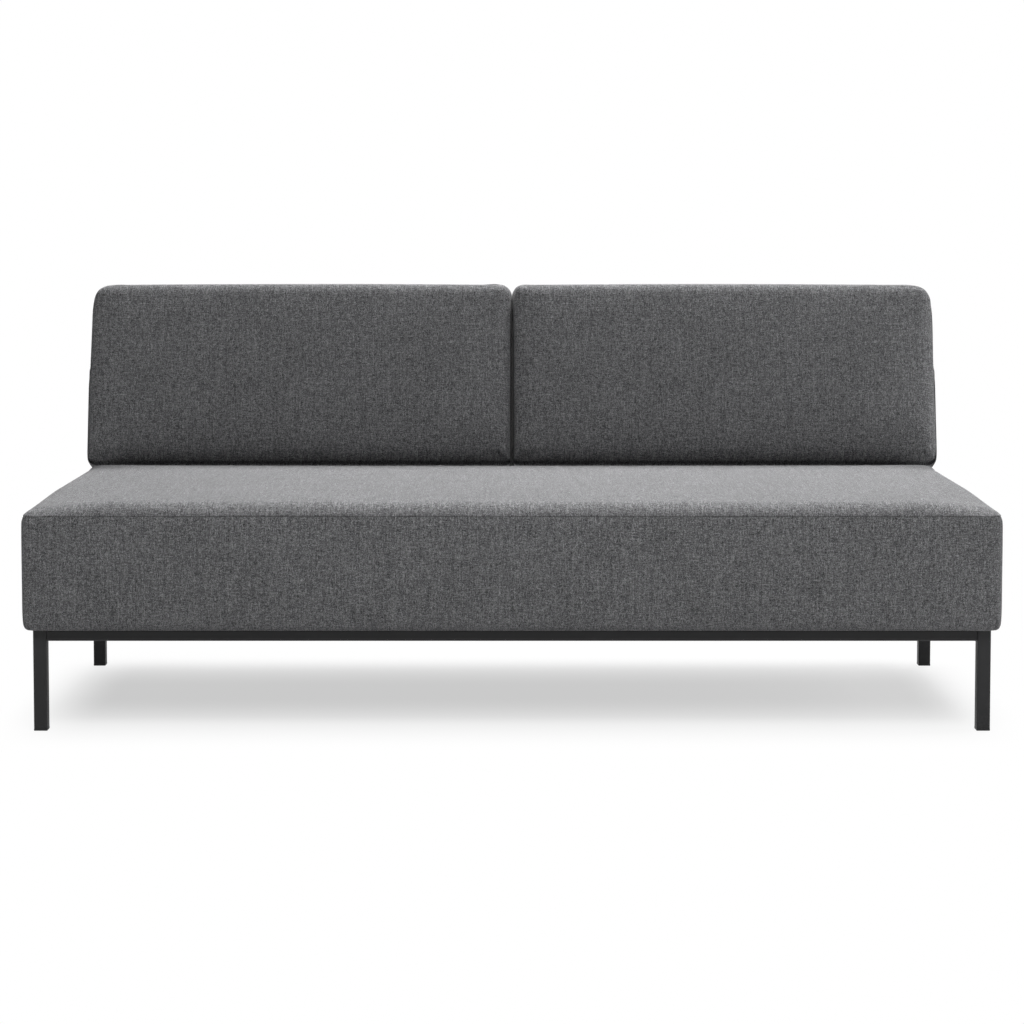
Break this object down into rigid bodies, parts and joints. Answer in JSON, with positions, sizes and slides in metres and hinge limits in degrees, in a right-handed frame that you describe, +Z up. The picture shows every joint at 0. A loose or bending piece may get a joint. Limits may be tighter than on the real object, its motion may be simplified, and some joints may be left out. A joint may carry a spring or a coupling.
{
  "type": "split-back futon",
  "caption": "Armless futon: long boxed seat on a black square-tube base, with separate backs that recline on hinges from upright to flat and level with the seat.",
  "frame": {"origin": "on the floor under the middle of the object's box", "axes": "+X along the seat to the viewer's right, -Y to the front, +Z up"},
  "size_m": [1.7994, 1.0038, 0.8003],
  "materials": {
    "woven_cloth": "mid-grey melange plain weave, matte",
    "foam": "open-cell foam, matte",
    "dust_cloth": "black non-woven, matte",
    "softwood": "sawn, unfinished",
    "plywood": "sanded, unfinished",
    "powder_coat": "satin",
    "zinc_plate": "bright zinc plate",
    "nylon": "matte"
  },
  "bodies": {
    "frame_and_seat": {"leg_front_left": "powder_coat", "leg_front_right": "powder_coat", "leg_rear_left": "powder_coat", "leg_rear_right": "powder_coat", "base_rail_front": "powder_coat", "base_rail_rear": "powder_coat", "base_rail_left": "powder_coat", "base_rail_right": "powder_coat", "cross_member_left": "powder_coat", "cross_member_right": "powder_coat", "hinge_post_left_outer": "powder_coat", "hinge_post_left_inner": "powder_coat", "hinge_post_right_outer": "powder_coat", "hinge_post_right_inner": "powder_coat", "foot_glide_front_left": "nylon", "foot_glide_front_right": "nylon", "foot_glide_rear_left": "nylon", "foot_glide_rear_right": "nylon", "base_bolt_front_left": "zinc_plate", "base_bolt_rear_left": "zinc_plate", "base_bolt_front_right": "zinc_plate", "base_bolt_rear_right": "zinc_plate", "hinge_pin_left_outer": "zinc_plate", "hinge_pin_left_inner": "zinc_plate", "hinge_pin_right_outer": "zinc_plate", "hinge_pin_right_inner": "zinc_plate", "seat_cover": "woven_cloth", "seat_foam": "foam", "seat_deck": "plywood", "seat_rail_front": "softwood", "seat_rail_rear": "softwood", "seat_rail_left": "softwood", "seat_rail_right": "softwood", "seat_bearer_left": "softwood", "seat_bearer_right": "softwood", "dust_cloth": "dust_cloth"},
    "left_back": {"left_back_cover": "woven_cloth", "left_back_outside_cloth": "woven_cloth", "left_back_foam": "foam", "left_back_board": "plywood", "left_back_stile_outer": "softwood", "left_back_stile_inner": "softwood", "hinge_arm_left_outer": "powder_coat", "hinge_arm_left_inner": "powder_coat", "arm_screw_left_outer_lower": "zinc_plate", "arm_screw_left_outer_upper": "zinc_plate", "arm_screw_left_inner_lower": "zinc_plate", "arm_screw_left_inner_upper": "zinc_plate"},
    "right_back": {"right_back_cover": "woven_cloth", "right_back_outside_cloth": "woven_cloth", "right_back_foam": "foam", "right_back_board": "plywood", "right_back_stile_outer": "softwood", "right_back_stile_inner": "softwood", "hinge_arm_right_outer": "powder_coat", "hinge_arm_right_inner": "powder_coat", "arm_screw_right_outer_lower": "zinc_plate", "arm_screw_right_outer_upper": "zinc_plate", "arm_screw_right_inner_lower": "zinc_plate", "arm_screw_right_inner_upper": "zinc_plate"}
  },
  "joints": [
    {"name": "left_back_recline", "type": "hinge", "parent": "frame_and_seat", "child": "left_back", "pos_m": [-0.45, 0.27566, 0.40488], "axis": [-1, 0, 0], "range_deg": [-8, 76]},
    {"name": "right_back_recline", "type": "hinge", "parent": "frame_and_seat", "child": "right_back", "pos_m": [0.45, 0.27566, 0.40488], "axis": [-1, 0, 0], "range_deg": [-8, 76]}
  ]
}
